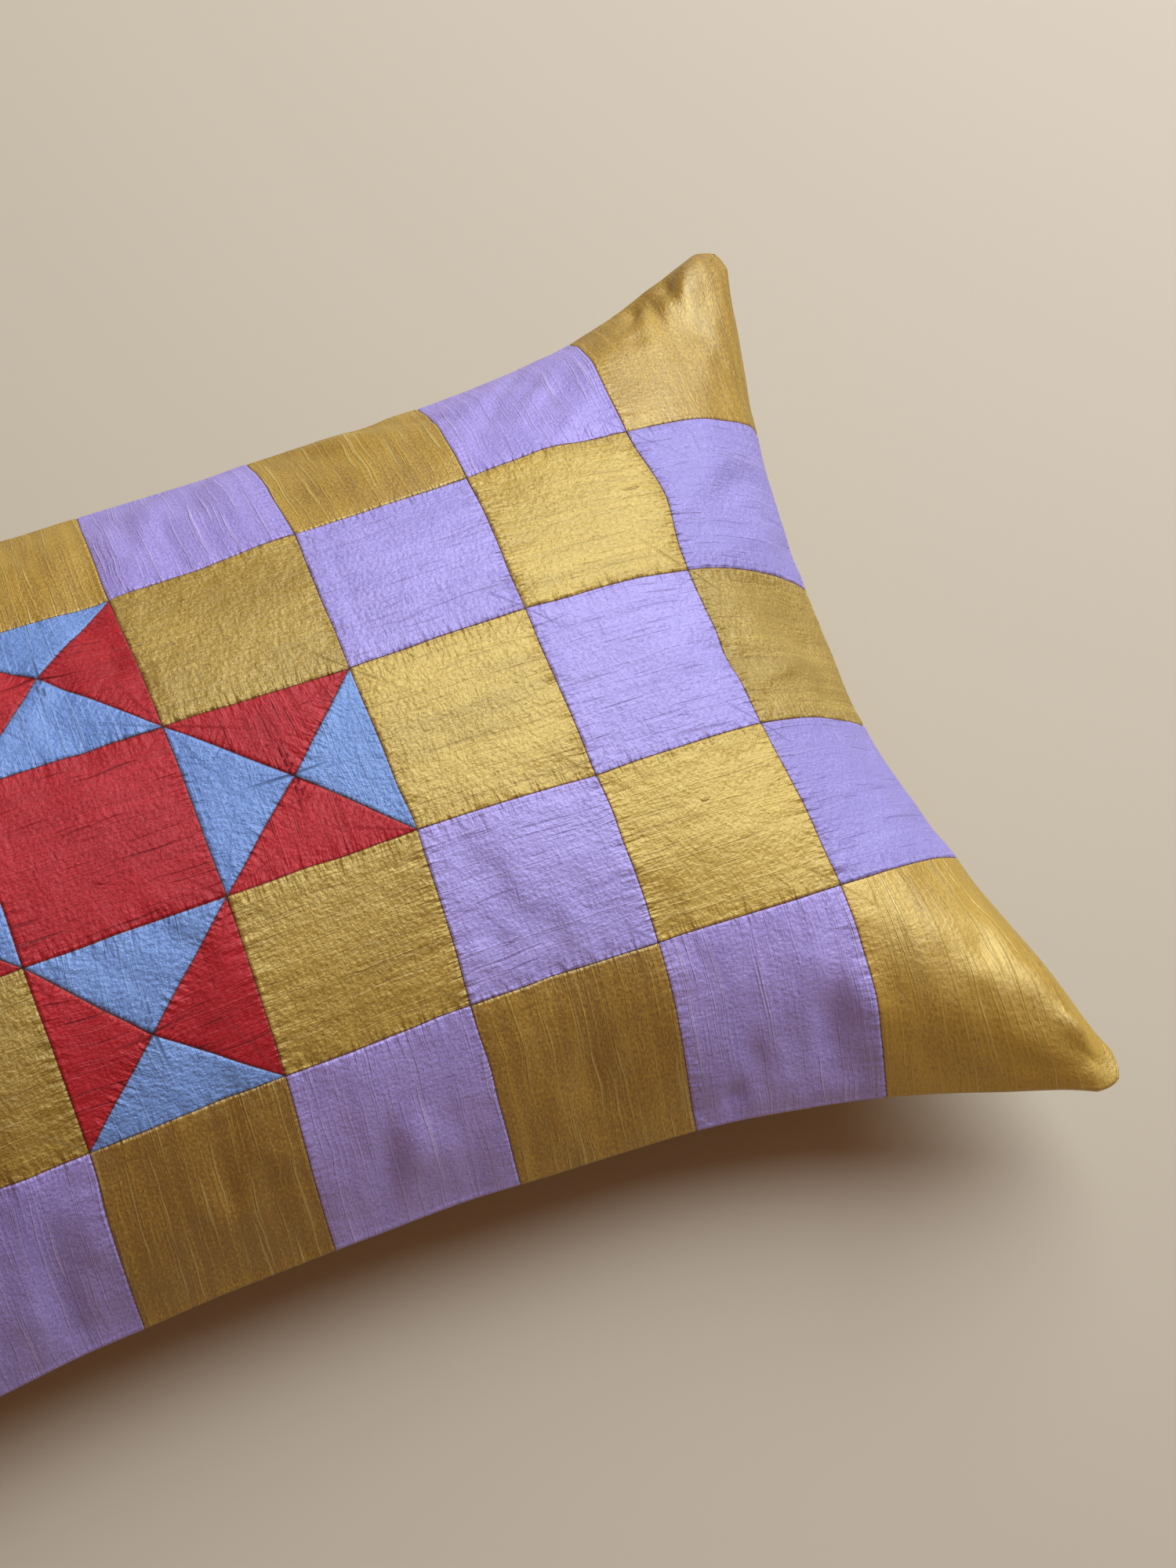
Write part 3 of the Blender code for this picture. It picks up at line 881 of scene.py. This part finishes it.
def makeBack(material):
    # the plain back, which shares the rim with the patchwork
    piece = addGrid(columnCount * back["steps"], rowCount * back["steps"])
    piece.name = piece.data.name = "back_panel"
    setMode("EDIT")
    bpy.ops.mesh.select_all(action="SELECT")
    bpy.ops.mesh.flip_normals()
    setMode("OBJECT")
    mesh = piece.data
    local = readPoints(mesh)
    columns, rows = local[:, 0] * columnCount, local[:, 1] * rowCount
    columns = np.round(columns) + eased(columns - np.round(columns))
    rows = np.round(rows) + eased(rows - np.round(rows))
    u, v = placeInPatches(columns, rows)
    smooth = panelPoint(u, v, -1) + pressedOut(u, v, -1)
    clear = np.clip(smooth[:, 2] / back["easesOver"], 0, 1)
    slack = slackHeight(u + back["slackShift"], v + back["slackShift"])
    height = (slack * np.clip(hemDistance(u, v) / seamFade, 0, 1) + hemRelief(u, v, -1)) * clear
    points = smooth + hemWave(u, v) * clear[:, None] + outwardAt(u, v, -1) * height[:, None] - middle
    points[:, 2] = np.maximum(points[:, 2], 0)
    writePoints(mesh, points)
    writeMap(mesh, "weave", np.stack([u, v], axis=-1) + back["mapShift"])
    writeMap(mesh, "OFBake", local[:, :2] * back["bakeSize"] + 0.5)
    writeLooks(mesh, [u, 0 * u + 1, 0 * u], 0, 1)
    dressed(piece, material)
    print("back panel made")


# Silks: linear colours of the lighter and darker yarns. Slubs are thick places in the weft, which
# stand out as ridges or show as dark lines, and are coloured lighter, partly their own yarn and partly
# painted highlight where they catch the light; nubs are knots in it; crinkle is the crush of the cloth
silks = {
    "ochre_middle": {
        "light": (0.68, 0.49, 0.090), "dark": (0.36, 0.225, 0.024), "knot": (0.26, 0.12, 0.02),
        "slub": (0.76, 0.60, 0.20), "ridges": 0.4, "lines": 0.8, "crinkle": 0.20, "puckers": 1.0,
        "nubs": 1.0, "sheen": 0.10, "shine": 0.57, "tint": (0.88, 1.0, 0.66),
    },
    # Border ochre: the same silk as the middle ochre, made darker and more orange as painted shade for
    # the rows along the long sides, where the near row falls away from the light
    "ochre_border": {
        # its knot colour is light: painted highlight on the lines and nubs of this border ochre
        "light": (0.60, 0.375, 0.025), "dark": (0.30, 0.145, 0.004), "knot": (0.66, 0.52, 0.16),
        "slub": (0.80, 0.64, 0.18), "ridges": 1.0, "lines": 0.2, "crinkle": 0.09, "puckers": 0.3,
        "nubs": 0.4, "sheen": 0.20, "shine": 0.85, "tint": (0.86, 1.0, 0.70),
    },
    "lilac_middle": {
        "light": (0.49, 0.455, 0.96), "dark": (0.31, 0.285, 0.69), "knot": (0.19, 0.13, 0.38),
        "slub": (0.58, 0.54, 0.97), "ridges": 0.4, "lines": 1.2, "crinkle": 0.19, "puckers": 0.9,
        "nubs": 0.6, "sheen": 0.04, "shine": 0.28,
    },
    "lilac_border": {
        # its knot colour is light: painted highlight on the lines and nubs of this border lilac
        "light": (0.50, 0.44, 0.96), "dark": (0.325, 0.285, 0.71), "knot": (0.50, 0.45, 0.92),
        "slub": (0.66, 0.60, 0.98), "ridges": 1.0, "lines": 0.3, "crinkle": 0.13, "puckers": 0.6,
        "nubs": 0.8, "sheen": 0.08, "shine": 0.34,
    },
    "red_star": {
        "light": (0.59, 0.026, 0.036), "dark": (0.35, 0.007, 0.011), "knot": (0.14, 0.005, 0.009),
        "slub": (0.64, 0.08, 0.09), "ridges": 0.4, "lines": 1.6, "crinkle": 0.13, "puckers": 0.7,
        "nubs": 0.5, "sheen": 0.08, "shine": 0.16,
    },
    "blue_star": {
        "light": (0.21, 0.42, 0.85), "dark": (0.125, 0.275, 0.65), "knot": (0.10, 0.20, 0.46),
        "slub": (0.36, 0.58, 0.90), "ridges": 0.5, "lines": 0.1, "crinkle": 0.24, "puckers": 0.6,
        "nubs": 0.3, "sheen": 0.05, "shine": 0.34,
    },
}
finish = {"Roughness": 0.49, "IOR": 2.0, "Anisotropic": 0.3}
# The seams show as a dashed brown line of thread and shade, in mm
seamLine = {
    "colour": (0.20, 0.085, 0.05), "half": 0.09, "ease": 0.19, "strength": 0.85,
    "stitch": 1.9, "stitchReach": 1.3, "stitchStray": 0.06,
}
yarn = {"warpPitch": 0.42, "weftPitch": 0.50, "sway": 1.3}
# Patterns of the cloth: cycles in each mm along and across the slubs, detail, and where a mark begins
# and is full. The first ones follow the yarn's sway
swaying = {
    "ridge": ((0.015, 0.75), 1.5, 0.61, 0.67),
    "thin": ((0.018, 1.10), 1.0, 0.54, 0.70),
    "line": ((0.030, 0.75), 2.0, 0.62, 0.70),
    "nub": ((0.10, 0.36), 2.0, 0.71, 0.79),
    "bands": ((0.008, 0.30), 2.0),
}
unswayed = {
    "cross": ((0.80, 0.065), 2.0, 0.66, 0.74),
    "crush": ((0.85, 0.55), 4.0),
    "crease": ((0.22, 0.16), 2.5),
    "patchy": ((0.035, 0.05), 2.0),
    "grain": ((0.7, 1.3), 3.0),
}
swayPattern, puckerPattern = ((0.045, 0.10), 1.0), ((0.40, 0.10), 2.0)
# How high each stands in mm and how much it lightens the colour, times a silk's own share of it
heights = {
    "ridge": (0.22, "ridges"), "thin": (0.10, "ridges"), "line": (-0.08, "lines"),
    "cross": (-0.06, "lines"), "crush": (2.6, "crinkle"), "crease": (2.4, "crinkle"),
    "nub": (0.30, "nubs"), "pucker": (2.6, "puckers"), "grain": (0.16, "all"),
    "weave": (0.012, "all"), "stitch": (0.05, "all"),
}
# tone carries each patch's painted light and shade from the table, and a random tone for the rest
lightens = {
    "bands": (0.9, "all"), "patchy": (0.9, "all"), "tone": (0.45, "all"), "grain": (2.4, "all"),
    "thin": (0.3, "ridges"),
}
shares = {"darkest": -1.65, "slub": 0.45, "lines": 0.4, "cross": 0.6, "knots": 0.45}


def setInputs(tree, node, inputs):
    for key, value in inputs.items():
        if isinstance(value, bpy.types.NodeSocket):
            tree.links.new(value, node.inputs[key])
        else:
            node.inputs[key].default_value = value


def addNode(tree, kind, inputs=None, **settings):
    made = tree.nodes.new("ShaderNode" + kind)
    for key, value in settings.items():
        setattr(made, key, value)
    setInputs(tree, made, inputs or {})
    return made


def maths(tree, operation, first, second=0.0, third=0.0):
    return addNode(tree, "Math", {0: first, 1: second, 2: third}, operation=operation).outputs[0]


def ramped(tree, value, low, high, bottom=0.0, top=1.0):
    inputs = {"Value": value, "From Min": low, "From Max": high, "To Min": bottom, "To Max": top}
    return addNode(tree, "MapRange", inputs, interpolation_type="SMOOTHSTEP").outputs[0]


def marked(tree, places, cycles, detail, begins=None, full=None):
    # noise that is stretched along the threads, cut off where it makes separate marks
    scale = (*[cycle / mm for cycle in cycles], 1)
    at = addNode(tree, "Mapping", {"Vector": places, "Scale": scale}).outputs[0]
    noise = addNode(tree, "TexNoise", {"Vector": at, "Scale": 1.0, "Detail": detail}).outputs["Fac"]
    return noise if begins is None else ramped(tree, noise, begins, full)


def mixed(tree, share, first, second):
    first, second = (c if isinstance(c, bpy.types.NodeSocket) else (*c, 1) for c in (first, second))
    return addNode(tree, "Mix", {0: share, 6: first, 7: second}, data_type="RGBA").outputs[2]


def silk(name, look):
    material = bpy.data.materials.new(name)
    material.use_nodes = True
    tree = material.node_tree
    shader = tree.nodes["Principled BSDF"]
    look = {**look, "all": 1}

    def times(first, second):
        return maths(tree, "MULTIPLY", first, second)

    def sine(place, pitch):
        return maths(tree, "SINE", times(place, math.tau / (pitch * mm)))

    def summed(total, amounts):
        for name, (amount, share) in amounts.items():
            total = maths(tree, "MULTIPLY_ADD", marks[name], amount * look[share], total)
        return total

    straight = addNode(tree, "UVMap", uv_map="weave").outputs[0]
    seamAt = addNode(tree, "Attribute", attribute_name="seam").outputs["Vector"]
    along, distance, drawn = addNode(tree, "SeparateXYZ", {0: seamAt}).outputs
    slubby = addNode(tree, "Attribute", attribute_name="slubby").outputs["Fac"]

    # no yarn runs quite straight
    sway = marked(tree, straight, *swayPattern)
    sway = maths(tree, "MULTIPLY_ADD", sway, 2 * yarn["sway"] * mm, -yarn["sway"] * mm)
    moved = addNode(tree, "CombineXYZ", {1: sway}).outputs[0]
    places = addNode(tree, "VectorMath", {0: straight, 1: moved}, operation="ADD").outputs[0]

    marks = {name: marked(tree, places, *pattern) for name, pattern in swaying.items()}
    for name, pattern in unswayed.items():
        marks[name] = marked(tree, straight, *pattern)
    for name in ("ridge", "thin"):
        marks[name] = times(marks[name], slubby)
    marks["tone"] = addNode(tree, "Attribute", attribute_name="tone").outputs["Fac"]
    besideSeam = addNode(tree, "CombineXYZ", {0: along, 1: distance}).outputs[0]
    pucker = maths(tree, "SUBTRACT", marked(tree, besideSeam, *puckerPattern), 0.5)
    marks["pucker"] = times(pucker, drawn)
    split = addNode(tree, "SeparateXYZ", {0: straight}).outputs
    marks["weave"] = times(sine(split[0], yarn["warpPitch"]), sine(split[1], yarn["weftPitch"]))
    stitch = sine(along, seamLine["stitch"])
    nearSeam = ramped(tree, distance, 0.0, seamLine["stitchReach"] * mm, 1.0, 0.0)
    marks["stitch"] = times(stitch, nearSeam)

    # relief in millimetres
    height = summed(0.0, heights)
    bump = addNode(tree, "Bump", {"Height": height, "Distance": mm, "Strength": 1.0}).outputs[0]

    # colour: lighter and darker yarns, slubs lightened partly with painted highlight, dark lines and
    # knots (light on the border silks, as painted highlight), and the seam's thread with painted shade
    share = addNode(tree, "Clamp", {0: summed(shares["darkest"], lightens)}).outputs[0]
    colour = mixed(tree, share, look["dark"], look["light"])
    # slubs take the slub colour, partly their own yarn and partly painted highlight where they catch the
    # light
    slub = times(marks["ridge"], shares["slub"] * look["ridges"])
    colour = mixed(tree, slub, colour, look["slub"])
    lines = maths(tree, "MAXIMUM", marks["line"], times(marks["cross"], shares["cross"]))
    lines = times(lines, shares["lines"] * look["lines"])
    knots = times(marks["nub"], shares["knots"] * look["nubs"])
    colour = mixed(tree, maths(tree, "MAXIMUM", lines, knots), colour, look["knot"])
    # the seam line: its thread, and painted shade in the seam's ditch
    dash = maths(tree, "MULTIPLY_ADD", stitch, seamLine["stitchStray"] * mm, distance)
    inner, outer = seamLine["half"] * mm, (seamLine["half"] + seamLine["ease"]) * mm
    threadAndShade = ramped(tree, dash, inner, outer, seamLine["strength"], 0.0)
    colour = mixed(tree, threadAndShade, colour, seamLine["colour"])
    tangent = addNode(tree, "Tangent", direction_type="UV_MAP", uv_map="weave").outputs[0]
    tint = (*look.get("tint", (1, 1, 1)), 1)
    setInputs(tree, shader, {
        "Base Color": colour, "Normal": bump, "Tangent": tangent, "Metallic": look["sheen"],
        "Specular IOR Level": look["shine"], "Specular Tint": tint, **finish,
    })
    return material


materials = {name: silk(name, look) for name, look in silks.items()}
makeCloths(materials)
# the back is cut from the border ochre, with its painted shade
makeBack(materials["ochre_border"])

# Studio: a pale warm floor, a soft light high over the far right, and a dim surround
studio = {
    "floor": (0.60, 0.57, 0.43), "floorSize": 8.0, "floorUnder": 0.4 * mm, "floorRoughness": 0.7,
    "lightFrom": (0.56, 0.39, 0.73), "lightAway": 2.0, "lightSize": 2.0, "lightPower": 43,
    "lightColour": (0.98, 1.0, 1.10), "surround": (1.0, 0.50, 0.37), "surroundPower": 0.20,
}


def addStudio():
    deselectAll()
    bpy.ops.mesh.primitive_plane_add(size=studio["floorSize"], location=(0, 0, -studio["floorUnder"]))
    floor = bpy.context.object
    floor.name = "floor"
    paint = bpy.data.materials.new("floor")
    paint.use_nodes = True
    tree = paint.node_tree
    look = {"Base Color": (*studio["floor"], 1), "Roughness": studio["floorRoughness"]}
    setInputs(tree, tree.nodes["Principled BSDF"], look)
    floor.data.materials.append(paint)
    data = bpy.data.lights.new("window", "AREA")
    data.shape, data.size, data.energy = "DISK", studio["lightSize"], studio["lightPower"]
    data.color = studio["lightColour"]
    light = bpy.data.objects.new("window", data)
    bpy.context.scene.collection.objects.link(light)
    way = Vector(studio["lightFrom"]).normalized()
    turned = way.to_track_quat("Z", "Y").to_matrix().to_4x4()
    light.matrix_world = Matrix.Translation(way * studio["lightAway"]) @ turned
    world = bpy.data.worlds.new("surround")
    world.use_nodes = True
    tree = world.node_tree
    look = {"Color": (*studio["surround"], 1), "Strength": studio["surroundPower"]}
    setInputs(tree, tree.nodes["Background"], look)
    bpy.context.scene.world = world
    bpy.context.scene.view_settings.view_transform = "Standard"


addStudio()
print("studio lit")
